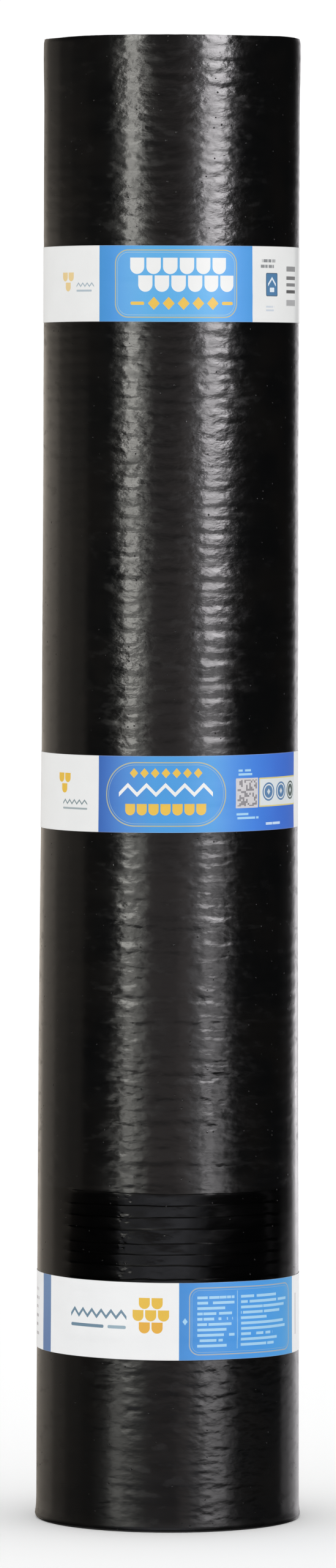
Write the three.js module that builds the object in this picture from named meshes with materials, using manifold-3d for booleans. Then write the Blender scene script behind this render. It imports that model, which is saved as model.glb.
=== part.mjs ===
// Roll of bitumen roofing felt standing on its end, held by three paper bands.
//
// The felt is one sheet, wound on itself around an open bore, so it is one
// turned solid: a lathe profile for the slightly uneven outer surface and the
// bore, with a spiral groove in each end face where one turn meets the next.
// Each paper band is a thin ring that follows the outer surface under it.
//
// Millimetres. +Z is up, along the bore. The origin is the centre of the lower
// end face, where the roll stands on the floor. The front of the roll is -Y.

import * as THREE from 'three';
import { mergeVertices } from 'three/addons/utils/BufferGeometryUtils.js';
import Module from 'manifold-3d';

// ---- driving dimensions ---------------------------------------------------

const SHEET_WIDTH = 1000;        // width of the felt, which is the height of the roll
const SHEET_THICKNESS = 3.5;     // one layer of felt
const WINDING_PITCH = 3.61;      // one turn to the next, with the little air between them
const BORE_RADIUS = 26;          // open middle that the sheet was wound around
const BORE_CHAMFER = 1.2;        // worn edge where the bore meets the end faces

const SEGMENTS = 72;             // facets around the roll

const FREE_END_ANGLE = 105;      // where the outer end of the sheet lies, degrees from +X
const GROOVE_TURNS = 15;         // turns of groove that show between the layers
const GROOVE_OUTER_RADIUS = 83.4;// groove under the outermost layer, at the free end
const GROOVE_WIDTH = 0.8;        // gap between two layers at the end face
const GROOVE_DEPTH = 2.0;
const GROOVE_STEPS_PER_TURN = 24;

// Outer surface of the felt: [height, radius]. The roll is tightest in its
// upper half, swells towards its foot and has a small lip where it stands.
const OUTER_PROFILE = [
  [0, 88.6],
  [0.8, 89.7],
  [2.2, 90.0],
  [6, 89.5],
  [14, 89.3],
  [100, 89.2],
  [150, 88.6],
  [215, 87.95],
  [280, 87.55],
  [330, 87.35],
  [405, 86.85],
  [550, 86.6],
  [760, 86.4],
  [960, 86.4],
  [985, 86.8],
  [995, 86.7],
  [998.6, 86.2],
  [1000, 85.0],
];

const BAND_THICKNESS = 0.4;      // paper with its glue line
const BAND_GAP = 0.3;            // paper lies loosely on the felt
const BANDS = {
  label_band_upper: [809.6, 860.5],
  label_band_middle: [468.9, 520.2],
  label_band_lower: [115.3, 167.3],
};

// ---- materials ------------------------------------------------------------

const feltMaterial = new THREE.MeshStandardMaterial({
  name: 'bitumen_felt',
  color: 0x16171a,
  roughness: 0.38,
  metalness: 0,
});
const paperMaterial = new THREE.MeshStandardMaterial({
  name: 'printed_paper',
  color: 0xe9edf2,
  roughness: 0.5,
  metalness: 0,
});

// ---- helpers --------------------------------------------------------------

// Radius of the felt's outer surface at a height.
function outerRadius(z) {
  const p = OUTER_PROFILE;
  for (let i = 1; i < p.length; i += 1) {
    if (z <= p[i][0]) {
      const t = (z - p[i - 1][0]) / (p[i][0] - p[i - 1][0]);
      return p[i - 1][1] + t * (p[i][1] - p[i - 1][1]);
    }
  }
  return p[p.length - 1][1];
}

// A closed loop of [height, radius] points turned about the vertical axis.
function turned(loop) {
  const points = loop.map(([z, r]) => new THREE.Vector2(r, z));
  points.push(points[0].clone());
  const geometry = new THREE.LatheGeometry(points, SEGMENTS);
  geometry.rotateX(Math.PI / 2);
  return welded(geometry);
}

// The same surface with position as its only attribute and shared vertices.
function welded(geometry) {
  const bare = geometry.clone();
  bare.deleteAttribute('normal');
  bare.deleteAttribute('uv');
  return mergeVertices(bare, 1e-4);
}

// A flat spiral, stepped evenly in angle so that every turn's facets line up.
class Spiral extends THREE.Curve {
  constructor(outerR, pitch, turns, endAngle, z) {
    super();
    Object.assign(this, { outerR, pitch, turns, endAngle, z });
  }

  getPoint(t, target = new THREE.Vector3()) {
    const back = (1 - t) * this.turns;
    const r = this.outerR - this.pitch * back;
    const a = this.endAngle - 2 * Math.PI * back;
    return target.set(r * Math.cos(a), r * Math.sin(a), this.z);
  }

  getTangent(t, target = new THREE.Vector3()) {
    const back = (1 - t) * this.turns;
    const r = this.outerR - this.pitch * back;
    const a = this.endAngle - 2 * Math.PI * back;
    const k = this.pitch / (2 * Math.PI);
    return target
      .set(k * Math.cos(a) - r * Math.sin(a), k * Math.sin(a) + r * Math.cos(a), 0)
      .normalize();
  }

  getPointAt(u, target) {
    return this.getPoint(u, target);
  }

  getTangentAt(u, target) {
    return this.getTangent(u, target);
  }

  getSpacedPoints(divisions) {
    return this.getPoints(divisions);
  }
}

// A diamond bar laid along the spiral at an end face: the half of it that is
// inside the roll is the V-shaped groove between two turns.
function spiralBar(z) {
  const diamond = new THREE.Shape([
    new THREE.Vector2(-GROOVE_DEPTH, 0),
    new THREE.Vector2(0, -GROOVE_WIDTH / 2),
    new THREE.Vector2(GROOVE_DEPTH, 0),
    new THREE.Vector2(0, GROOVE_WIDTH / 2),
  ]);
  const path = new Spiral(
    GROOVE_OUTER_RADIUS,
    WINDING_PITCH,
    GROOVE_TURNS,
    THREE.MathUtils.degToRad(FREE_END_ANGLE),
    z,
  );
  return welded(
    new THREE.ExtrudeGeometry(diamond, {
      steps: GROOVE_TURNS * GROOVE_STEPS_PER_TURN,
      bevelEnabled: false,
      extrudePath: path,
    }),
  );
}

const wasm = await Module();
wasm.setup();

function toSolid(geometry) {
  const solid = new wasm.Manifold(
    new wasm.Mesh({
      numProp: 3,
      vertProperties: new Float32Array(geometry.attributes.position.array),
      triVerts: new Uint32Array(geometry.index.array),
    }),
  );
  return solid;
}

function toGeometry(solid) {
  const mesh = solid.getMesh();
  const geometry = new THREE.BufferGeometry();
  geometry.setAttribute('position', new THREE.BufferAttribute(Float32Array.from(mesh.vertProperties), 3));
  geometry.setIndex(new THREE.BufferAttribute(Uint32Array.from(mesh.triVerts), 1));
  geometry.computeVertexNormals();
  return geometry;
}

// ---- the wound felt -------------------------------------------------------

const feltLoop = [
  [SHEET_WIDTH, BORE_RADIUS + BORE_CHAMFER],
  [SHEET_WIDTH - BORE_CHAMFER, BORE_RADIUS],
  [BORE_CHAMFER, BORE_RADIUS],
  [0, BORE_RADIUS + BORE_CHAMFER],
  ...OUTER_PROFILE,
];
const woundSheet = toSolid(turned(feltLoop))
  .subtract(toSolid(spiralBar(SHEET_WIDTH)))
  .subtract(toSolid(spiralBar(0)));

const feltRoll = new THREE.Mesh(toGeometry(woundSheet), feltMaterial);
feltRoll.name = 'felt_roll';

// ---- the paper bands ------------------------------------------------------

function paperBand(name, [bottom, top]) {
  const heights = [
    bottom,
    ...OUTER_PROFILE.map(([z]) => z).filter((z) => z > bottom + 1 && z < top - 1),
    top,
  ];
  const outside = heights.map((z) => [z, outerRadius(z) + BAND_GAP + BAND_THICKNESS]);
  const inside = heights.map((z) => [z, outerRadius(z) + BAND_GAP]).reverse();
  const geometry = turned([...inside, ...outside]);
  geometry.computeVertexNormals();
  const band = new THREE.Mesh(geometry, paperMaterial);
  band.name = name;
  return band;
}

const group = new THREE.Group();
group.name = 'roofing_felt_roll';
group.add(feltRoll);
for (const [name, heights] of Object.entries(BANDS)) {
  group.add(paperBand(name, heights));
}

export default group;
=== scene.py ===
"""Roll of bitumen roofing felt standing on its end, held by three paper bands.

The felt is one sheet wound on itself, made here as one closed spiral solid with
its outer turn in fine relief. The bands are thin paper strips that wrap the roll
and bridge the step at the sheet's free end. Metres; +Z up, -Y is the front.
"""

import math

import bpy
import numpy as np
from mathutils import Matrix, Vector


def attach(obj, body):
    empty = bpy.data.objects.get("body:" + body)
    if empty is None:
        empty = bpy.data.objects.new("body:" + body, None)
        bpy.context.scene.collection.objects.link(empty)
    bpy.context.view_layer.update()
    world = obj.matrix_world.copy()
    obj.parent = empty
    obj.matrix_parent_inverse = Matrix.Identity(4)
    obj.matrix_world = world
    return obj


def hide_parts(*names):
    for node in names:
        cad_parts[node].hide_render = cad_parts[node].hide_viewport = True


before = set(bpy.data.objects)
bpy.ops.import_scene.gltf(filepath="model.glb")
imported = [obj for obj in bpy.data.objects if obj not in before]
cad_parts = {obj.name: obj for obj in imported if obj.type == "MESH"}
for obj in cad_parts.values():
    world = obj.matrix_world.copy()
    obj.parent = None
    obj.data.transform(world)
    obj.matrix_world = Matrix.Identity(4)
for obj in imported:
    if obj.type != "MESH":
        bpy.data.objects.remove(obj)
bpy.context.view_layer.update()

# ---------------------------------------------------------------- dimensions

HEIGHT = 1000.0           # mm, width of the felt sheet
THICKNESS = 3.5
PITCH = 3.61
BORE = 26.0
FREE_END = math.radians(105.0)      # outer end of the sheet, at the back
TURNS = 16.85             # how many times the sheet goes round
AXIS_X = -0.9             # centres the spiral's outline on the frame's axis
R_NOMINAL = 86.9

# outer surface: height, radius (mm)
PROFILE = np.array([
    (0, 89.2), (2.5, 89.42), (7, 89.4), (20, 89.32), (60, 89.28), (100, 89.2),
    (135, 89.0), (173, 88.88), (215, 88.72), (250, 88.56), (281, 88.36), (323, 88.18),
    (365, 87.86), (406, 87.6), (448, 87.25), (490, 86.85), (551, 86.77), (634, 86.62),
    (717, 86.42), (760, 86.48), (800, 86.32), (903, 86.38), (960, 86.35),
    (984, 86.85), (994, 86.8), (1000, 86.65),
])
# how far the roll's middle line wanders to the right on its way up
BOW = np.array([
    (0, 0.48), (100, 0.32), (200, 0.26), (300, 0.0), (400, 0.06), (500, 0.2),
    (600, 0.3), (700, 0.42), (800, 0.45), (900, 0.38), (1000, 0.47),
])
# bands: bottom, top (mm), the rise from the axis to the right side, and a further rise past 25 degrees
BANDS = {
    "upper": (809.2, 859.9, 0.1, 0.0),
    "middle": (468.8, 520.0, 0.3, 0.3),
    "lower": (115.7, 167.7, -0.35, -0.7),
}
MATT_ZONE = (130.0, 228.0)          # where the film is dull: it ends behind the lower band
LAP_PITCH = 8.29

# --------------------------------------------------------------------- noise


GRIDS = {}


def smooth_noise(seed, x, y, fx, fy):
    """Value noise in -1..1 with smooth steps, x and y in mm, fx and fy the cell sizes."""
    n = 256
    if seed not in GRIDS:
        GRIDS[seed] = np.random.default_rng(seed).uniform(-1, 1, (n, n))
    grid = GRIDS[seed]
    gx, gy = np.asarray(x) / fx, np.asarray(y) / fy
    ix, iy = np.floor(gx).astype(int), np.floor(gy).astype(int)
    tx, ty = gx - ix, gy - iy
    tx, ty = tx * tx * (3 - 2 * tx), ty * ty * (3 - 2 * ty)
    a = grid[ix % n, iy % n]
    b = grid[(ix + 1) % n, iy % n]
    c = grid[ix % n, (iy + 1) % n]
    d = grid[(ix + 1) % n, (iy + 1) % n]
    return (a * (1 - tx) + b * tx) * (1 - ty) + (c * (1 - tx) + d * tx) * ty


def sstep(a, b, x):
    t = np.clip((np.asarray(x, float) - a) / (b - a), 0, 1)
    return t * t * (3 - 2 * t)


def outline(z):
    """Radius of the outer surface at height z, the small table smoothed a little."""
    out = 0.0
    for dz, w in ((-7, 0.12), (-3, 0.2), (0, 0.36), (3, 0.2), (7, 0.12)):
        k = np.clip(np.asarray(z, float) + dz * sstep(0, 30, z) * sstep(0, 20, HEIGHT - z), 0, HEIGHT)
        out = out + w * np.interp(k, PROFILE[:, 0], PROFILE[:, 1])
    return out


def bow(z):
    """The roll's slight sideways bend, mm."""
    z = np.asarray(z, float)
    return sum(np.interp(z + dz, BOW[:, 0], BOW[:, 1]) for dz in (-45, -15, 15, 45)) / 4


def make_arches(seed, low, high, slope, spread):
    """Creases at uneven heights, with a bulge between each two: (heights, bulge of each, mm)."""
    rng = np.random.default_rng(seed)
    at, lines = -20.0, []
    while at < HEIGHT + 30:
        lines.append(at)
        at += rng.uniform(low, high)
    gaps = np.diff(lines, append=lines[-1] + low)
    sizes = slope / 4 * gaps * np.exp(np.clip(rng.normal(0, spread, len(lines)), -1.6 * spread, 0.9 * spread))
    return np.array(lines), sizes


# how strong the rings are: height, left side, right side
RING_STRENGTH = np.array([
    (0, 0.04, 0.06), (30, 0.06, 0.10), (60, 0.12, 0.18), (110, 0.35, 0.40), (230, 0.72, 0.68),
    (320, 0.78, 1.02), (360, 0.78, 1.25), (450, 0.86, 1.4), (520, 1.25, 1.35), (600, 1.1, 1.15),
    (640, 1.05, 1.1), (760, 1.15, 1.3), (860, 1.05, 1.4), (1000, 0.95, 1.3),
])
ARCHES = [make_arches(41, 6.2, 10.8, 0.112, 0.32), make_arches(42, 11.0, 19.0, 0.038, 0.4), make_arches(43, 3.6, 6.0, 0.018, 0.4)]


def arches(which, z):
    lines, sizes = ARCHES[which]
    k = np.clip(np.searchsorted(lines, z) - 1, 0, len(lines) - 2)
    t = (z - lines[k]) / (lines[k + 1] - lines[k])
    return sizes[k] * (3.3 * t * (1 - t) + 0.25 * np.sin(np.pi * np.clip(t, 0, 1)) ** 2)


def relief(u, z):
    """Height of the felt's surface relief in mm: rings that run round the roll, and slow waves.
    u is the distance round the roll from the front, z the height, both in mm."""
    u = u + 900.0
    warp = 1.6 * smooth_noise(5, u, z, 75, 90) + 0.5 * smooth_noise(6, u, z, 24, 40)
    s1 = np.clip(0.8 + 0.75 * smooth_noise(7, u, z, 85, 60), 0.1, 1.35)
    s2 = np.clip(0.7 + 0.9 * smooth_noise(17, u, z, 110, 80), 0.0, 1.5)
    s3 = np.clip(0.6 + 1.0 * smooth_noise(27, u, z, 50, 45), 0.0, 1.5)
    rings = 0.0
    for dz, share in ((-0.8, 0.25), (0.0, 0.5), (0.8, 0.25)):        # rounds the creases off a little
        at = z + dz
        rings = rings + share * (arches(0, at + warp) * s1 + arches(1, at + 1.3 * warp + 4) * s2 + arches(2, at + 0.8 * warp) * s3)
    for cu, cz in ((934.0, 305.6), (929.0, 267.7)):      # two creases pressed flatter
        rings = rings * (1 - 0.5 * np.exp(-((u - cu) / 11.0) ** 2 - ((z - cz) / 5.0) ** 2))
    side = sstep(-25, 25, u - 900.0)
    strength = [np.interp(z, RING_STRENGTH[:, 0], RING_STRENGTH[:, k]) for k in (1, 2)]
    rings = (rings - 0.16) * (strength[0] * (1 - side) + strength[1] * side) * liveliness(u - 900.0, z)
    waves = 0.10 * smooth_noise(8, u, z, 60, 150) + 0.16 * smooth_noise(9, u, z, 120, 260)
    dull = sstep(MATT_ZONE[1] + 2, MATT_ZONE[1] - 2, z) * sstep(MATT_ZONE[0] - 3, MATT_ZONE[0] + 2, z)
    return rings * (1 - 0.86 * dull) + laps(u - 900.0, z) * dull + waves * (1 - 0.6 * dull)


def foot_spread(u, z):
    """The outer turn spreads a little at the foot, most at the roll's two sides, mm."""
    angle = np.degrees(np.abs((u / R_NOMINAL + math.pi) % (2 * math.pi) - math.pi))
    size = 0.12 + 0.88 * sstep(42, 74, angle) + 0.12 * smooth_noise(61, u + 900, 0 * u, 22, 10)
    return size * np.interp(z, [0, 1.2, 2.6, 5.0, 8.0, 13.0], [0.55, 0.78, 0.80, 0.42, 0.14, 0.0])


def liveliness(u, z=500.0):
    """The sheet is smoother along the left flank, along the right one, and between the two bright strips."""
    u = np.asarray(u, float)
    low = sstep(125, 95, np.asarray(z, float))
    left = sstep(-34 - 16 * low, -47 - 20 * low, u) * sstep(-195, -150, u)
    right = sstep(62, 92, u) * sstep(195, 150, u)
    middle = sstep(-19, -12, u) * sstep(18, 12, u)
    return 1 - 0.85 * left - 0.68 * right - 0.45 * middle


# upper edges of the saw-toothed rings in the dull zone, mm
LAP_EDGES = 112.0 + LAP_PITCH * (np.arange(-1, 17) + np.random.default_rng(58).uniform(-0.13, 0.13, 18))


def laps(u, z):
    """Saw-toothed rings of the dull zone: each leans out to a sharp upper edge, mm.
    They are fainter at the roll's two sides."""
    z = np.asarray(z, float)
    k = np.clip(np.searchsorted(LAP_EDGES, z, side="right") - 1, 0, len(LAP_EDGES) - 2)
    pitch = LAP_EDGES[k + 1] - LAP_EDGES[k]
    t = (z - LAP_EDGES[k]) / pitch
    angle = np.degrees(np.abs((u / R_NOMINAL + math.pi) % (2 * math.pi) - math.pi))
    front = np.maximum(sstep(-78, -64, u) * sstep(88, 66, u), sstep(122, 150, angle))
    # the rings are flatter and less even near the middle of the front and a little to its left
    size = np.where(angle < 100, 0.73 + 0.05 * sstep(-10, -22, u) + 0.50 * sstep(-29, -41, u) + 0.41 * sstep(9, 22, u), 1.0)
    uneven = 0.12 + 0.18 * sstep(-24, -14, u) * sstep(22, 12, u)
    lean = pitch * 0.140 * (1 + uneven * smooth_noise(52, u + 900, k * 10.0, 24, 10)) * size
    under = 0.06 * np.clip(1.3 * smooth_noise(56, u + 900, k * 10.0, 20, 10), 0, 1) * size
    tooth = np.where(t < 0.88, lean * t / 0.88 + under * np.minimum(t / 0.12, 1), (lean + under) * (1 - t) / 0.12)
    return front * (tooth - 0.5 * lean - 0.15)


def lap_sway(u, z):
    """How far the saw-toothed rings wander up and down on their way round, mm."""
    near = sstep(MATT_ZONE[1] + 14, MATT_ZONE[1] - 6, z) * sstep(MATT_ZONE[0] - 10, MATT_ZONE[0] + 6, z)
    return near * (1.0 * smooth_noise(53, u + 900, z, 50, 18) + 0.5 * smooth_noise(54, u + 900, z, 13, 7))


# ------------------------------------------------------------- the felt sheet


def turn_radius(back, z):
    """Outer radius of the sheet, 'back' turns before its free end, at height z (mm)."""
    nominal = R_NOMINAL + PITCH * (0.5 - back)
    share = np.clip((nominal - BORE) / (R_NOMINAL - BORE), 0, 1)
    return nominal + (outline(z) - R_NOMINAL) * share


def sheet_length(back):
    """Length of sheet from its free end to a point 'back' turns before it, mm."""
    return 2 * math.pi * back * (R_NOMINAL + PITCH * 0.5 * (1 - back))


def place(r, theta, z):
    x = r * np.cos(theta) + (AXIS_X + bow(z))
    y = r * np.sin(theta)
    return np.stack([x, y, z], -1) / 1000.0


def free_end_lift(back, z):
    """How far the last stretch of the sheet stands off the turn below, mm."""
    near = sstep(0.085, 0.0, back)
    hold = 1.0
    for low, high, *_ in BANDS.values():
        mid, half = (low + high) / 2, (high - low) / 2
        hold = hold * sstep(half * 0.9, half + 120, np.abs(z - mid))
    return near * near * (0.15 + 1.5 * hold)


def build_felt():
    # rows closer in the zone of saw-toothed rings, and set on their edges
    edges = LAP_EDGES[(LAP_EDGES > 151.5) & (LAP_EDGES < MATT_ZONE[1] + 4)]
    laps_in = (edges[:-1, None] + np.diff(edges)[:, None] * np.array([0.0, 0.12, 0.34, 0.56, 0.74, 0.88, 0.94])).ravel()
    dense_z = np.concatenate([
        [0.9, 1.7, 2.6, 3.8], np.linspace(5.2, laps_in[0] - 1.4, 107), laps_in,
        np.linspace(laps_in[-1] + 1.4, 994.6, 544), [996.2, 997.4, 998.4, 999.1],
    ])
    sparse_z = np.array([0.9, 3.5, 12.0, 150.0, 400.0, 700.0, 985.0, 996.5, 999.1])
    across = np.array([0.10, 0.30, 0.50, 0.70, 0.90])          # share of the thickness on a cut edge
    crown = np.array([0.12, 0.0, 0.0, 0.05, 0.25])            # how far the edge rounds off there, mm
    n_across = len(across)

    dense_turns = np.arange(0, 1.0 + 0.036, 1 / 97.0)
    sparse_turns = np.arange(dense_turns[-1] + 1 / 60.0, TURNS, 1 / 48.0)
    verts, columns = [], []

    def column(back, dense):
        theta = FREE_END - 2 * math.pi * back
        z_out = dense_z if dense else sparse_z
        u = np.full(len(z_out), R_NOMINAL * (theta + math.pi / 2))
        r = turn_radius(back, z_out)
        if dense:
            shown = sstep(1.0, 0.985, back)        # the relief fades where the free end covers it
            r = r + (relief(u, z_out) + foot_spread(u, z_out)) * shown
        r = r + free_end_lift(back, z_out)
        # the sheet isn't wound dead level: its edges wander a little up and down
        turn = back
        inner = sstep(0.3, 1.5, turn)
        around = math.degrees(theta + math.pi / 2)
        top = HEIGHT + 0.12 * smooth_noise(20, turn * 540, 0 * turn, 60, 50)
        top = top + 0.70 * math.exp(-((around - 66) / 20) ** 2) - 0.55 * math.exp(-((around + 66) / 17) ** 2)
        top = top + inner * (0.55 * smooth_noise(21, turn * 300, 0 * turn, 130, 50) - 0.5 + 0.35 * math.sin(turn * 1.7))
        top = top - 1.3 * sstep(TURNS - 3.0, TURNS, turn)
        low = 0.35 + 0.35 * smooth_noise(22, turn * 300, 0 * turn, 110, 50)
        low = max(0.0, float(low)) * inner + 0.8 * sstep(TURNS - 2.5, TURNS, turn)
        top = float(top)
        # squeeze the end rows to follow the edges
        def along(z):
            return z + (top - HEIGHT) * sstep(960, 1000, z) + low * sstep(40, 0, z)
        sway = lap_sway(u, z_out) if dense else 0.0
        z_in = sparse_z
        along_sheet = sheet_length(back)
        # the sheet is pressed a little thinner here and there, so the gap between turns varies
        thin = 0.16 * (1 + float(smooth_noise(25, along_sheet, 0.0, 38, 50)))
        thick = THICKNESS - thin
        r_in = turn_radius(back, z_in) - thick + free_end_lift(back, z_in)
        t_edge = across * thick
        jag = 0.10 * smooth_noise(23, turn * 9000 + 0 * across, np.arange(n_across) * 7, 5, 3)
        jag2 = 0.10 * smooth_noise(24, turn * 9000 + 0 * across, np.arange(n_across) * 7, 5, 3)
        r_top = turn_radius(back, HEIGHT) + free_end_lift(back, HEIGHT) - t_edge
        z_top = top - crown + jag
        r_bot = turn_radius(back, 0.0) + free_end_lift(back, 0.0) - t_edge
        z_bot = np.maximum(low + crown + jag2 * 0.5, 0.0)
        bevel_out = 0.35 * (sstep(2.6, 0.6, z_out) + sstep(997.4, 999.4, z_out))
        bevel_in = 0.3 * (sstep(3.0, 0.6, z_in) + sstep(997.2, 999.4, z_in))
        start = sum(len(v) for v in verts)
        ring = [
            place(r - bevel_out, theta, along(z_out) + sway),
            place(r_top, theta, z_top),
            place(r_in + bevel_in, theta, along(z_in))[::-1],
            place(r_bot, theta, z_bot)[::-1],
        ]
        uvs = [
            np.stack([u, z_out], -1),
            np.stack([np.full(n_across, along_sheet), across * THICKNESS], -1),
            np.stack([np.full(len(z_in), along_sheet), z_in], -1)[::-1],
            np.stack([np.full(n_across, along_sheet + 3000), across * THICKNESS], -1)[::-1],
        ]
        for part in ring:
            verts.append(part)
        ids, at = [], start
        for part in ring:
            ids.append(np.arange(at, at + len(part)))
            at += len(part)
        columns.append((ids, [p / 1000.0 for p in uvs]))

    for back in dense_turns:
        column(float(back), True)
    for back in sparse_turns:
        column(float(back), False)
    verts = np.concatenate(verts)

    tris, tri_uv, tri_mat = [], [], []

    def quads(a, b, ua, ub, mat):
        """Quads between two rows of the same length, as triangles."""
        n = len(a) - 1
        q = np.stack([a[:-1], b[:-1], b[1:], a[1:]], -1)
        uq = np.stack([ua[:-1], ub[:-1], ub[1:], ua[1:]], 1)
        tris.append(q[:, [0, 1, 2]]); tri_uv.append(uq[:, [0, 1, 2]]); tri_mat.append(np.full(n, mat))
        tris.append(q[:, [0, 2, 3]]); tri_uv.append(uq[:, [0, 2, 3]]); tri_mat.append(np.full(n, mat))

    def zip_rows(a, b, ua, ub, ka, kb, mat):
        """Triangles between two rows of different lengths, merged by their keys."""
        i = j = 0
        while i < len(a) - 1 or j < len(b) - 1:
            step_a = j == len(b) - 1 or (i < len(a) - 1 and ka[i + 1] <= kb[j + 1])
            if step_a:
                tris.append(np.array([[a[i], b[j], a[i + 1]]]))
                tri_uv.append(np.array([[ua[i], ub[j], ua[i + 1]]]))
                i += 1
            else:
                tris.append(np.array([[a[i], b[j], b[j + 1]]]))
                tri_uv.append(np.array([[ua[i], ub[j], ub[j + 1]]]))
                j += 1
            tri_mat.append(np.array([mat]))

    mats = (0, 1, 2, 1)
    for (ia, ua), (ib, ub) in zip(columns[:-1], columns[1:]):
        for k in range(4):
            nk = (k + 1) % 4
            # each side runs on to the first vertex of the next side
            a = np.append(ia[k], ia[nk][0]); b = np.append(ib[k], ib[nk][0])
            uea = ua[k][-1] + (np.array([0, 0.0003]) if k in (1, 3) else np.array([0, 0]))
            ueb = ub[k][-1] + (np.array([0, 0.0003]) if k in (1, 3) else np.array([0, 0]))
            va = np.vstack([ua[k], uea]); vb = np.vstack([ub[k], ueb])
            if len(a) == len(b):
                quads(a, b, va, vb, mats[k])
            else:
                ka = np.append(ua[k][:, 1], 1.001) if k == 0 else np.arange(len(a))
                kb = np.append(ub[k][:, 1], 1.001) if k == 0 else np.arange(len(b))
                zip_rows(a, b, va, vb, ka, kb, mats[k])

    def cap(ids, first):
        """Closes the sheet's end: a strip between its outer and inner sides."""
        outer = np.concatenate([ids[0], ids[1][:3]])
        inner = np.concatenate([ids[2][::-1]])
        # bottom edge's outer half joins the outer row, its inner half the inner row
        bottom = ids[3][::-1]              # from the outer side to the inner side
        outer = np.concatenate([bottom[:3][::-1], ids[0], ids[1][:3]])
        inner = np.concatenate([bottom[2:], ids[2][::-1], ids[1][2:][::-1]])
        outer = outer[np.r_[True, outer[1:] != outer[:-1]]]
        ko = verts[outer][:, 2] + np.linspace(0, 1e-6, len(outer))
        ki = verts[inner][:, 2] + np.linspace(0, 1e-6, len(inner))
        ko = np.maximum.accumulate(ko); ki = np.maximum.accumulate(ki)
        uo = np.stack([verts[outer][:, 2], np.full(len(outer), 0.0003)], -1)
        ui = np.stack([verts[inner][:, 2], np.full(len(inner), 0.0032)], -1)
        start = len(tris)
        # rows share their first and last vertices, so skip triangles that have no area
        i = j = 0
        while i < len(outer) - 1 or j < len(inner) - 1:
            step_o = j == len(inner) - 1 or (i < len(outer) - 1 and ko[i + 1] <= ki[j + 1])
            if step_o:
                t, tu = [outer[i], inner[j], outer[i + 1]], [uo[i], ui[j], uo[i + 1]]
                i += 1
            else:
                t, tu = [outer[i], inner[j], inner[j + 1]], [uo[i], ui[j], ui[j + 1]]
                j += 1
            if len(set(t)) == 3:
                if first:
                    t, tu = t[::-1], tu[::-1]
                tris.append(np.array([t])); tri_uv.append(np.array([tu])); tri_mat.append(np.array([1]))

    cap(columns[0][0], True)
    cap(columns[-1][0], False)
    return verts, np.concatenate(tris), np.concatenate(tri_uv), np.concatenate(tri_mat)


def make_mesh(name, verts, tris, uvs, mats, materials, sharp=40.0):
    p = verts[tris]
    volume = np.einsum("ij,ij->i", p[:, 0], np.cross(p[:, 1], p[:, 2])).sum() / 6
    if volume < 0:
        tris, uvs = tris[:, ::-1], uvs[:, ::-1]
    mesh = bpy.data.meshes.new(name)
    mesh.vertices.add(len(verts))
    mesh.vertices.foreach_set("co", verts.astype(np.float32).ravel())
    mesh.loops.add(tris.size)
    mesh.loops.foreach_set("vertex_index", tris.astype(np.int32).ravel())
    mesh.polygons.add(len(tris))
    mesh.polygons.foreach_set("loop_start", np.arange(0, tris.size, 3, dtype=np.int32))
    mesh.polygons.foreach_set("material_index", mats.astype(np.int32))
    layer = mesh.uv_layers.new(name="sheet")
    layer.data.foreach_set("uv", uvs.reshape(-1, 2).astype(np.float32).ravel())
    mesh.update(calc_edges=True)
    mesh.validate()
    mesh.polygons.foreach_set("use_smooth", np.ones(len(mesh.polygons), bool))
    mesh.set_sharp_from_angle(angle=math.radians(sharp))
    obj = bpy.data.objects.new(name, mesh)
    bpy.context.scene.collection.objects.link(obj)
    for m in materials:
        mesh.materials.append(m)
    return obj


# ------------------------------------------------------------------ materials


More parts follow.
